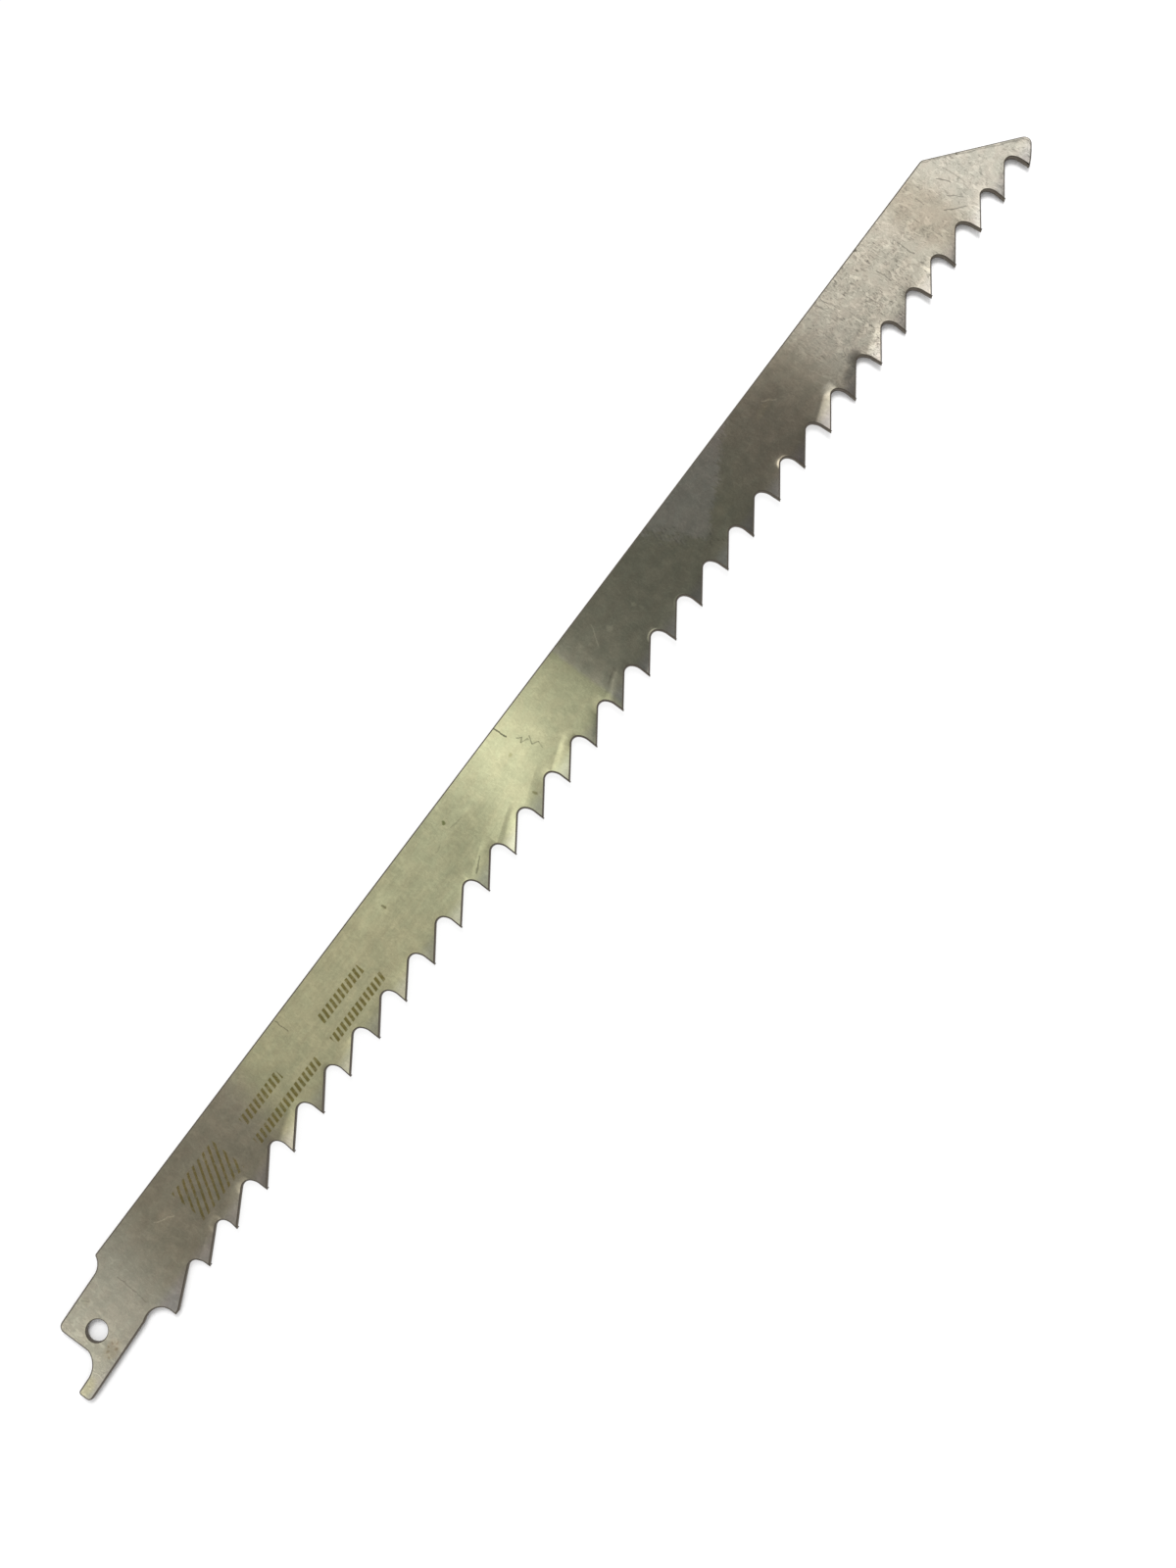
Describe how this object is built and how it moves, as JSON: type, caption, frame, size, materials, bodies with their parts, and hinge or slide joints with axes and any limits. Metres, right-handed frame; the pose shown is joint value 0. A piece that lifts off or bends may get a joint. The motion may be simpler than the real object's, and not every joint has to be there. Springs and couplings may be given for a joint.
{
  "type": "reciprocating saw blade",
  "caption": "Long flat reciprocating saw blade with coarse alternately set teeth, a sloping nose, and a notched shank with a round hole.",
  "frame": {"origin": "centre of the round shank hole, halfway through the blade's thickness", "axes": "+X runs along the blade from the shank to the nose, the teeth face -Y, +Z is normal to the blade's flat side, which lies down"},
  "size_m": [0.3, 0.0186, 0.0018],
  "materials": {
    "blade_steel": "satin stainless strip, lightly scratched, with pale ground tooth faces"
  },
  "bodies": {
    "root": {"saw_blade": "blade_steel"}
  },
  "joints": []
}
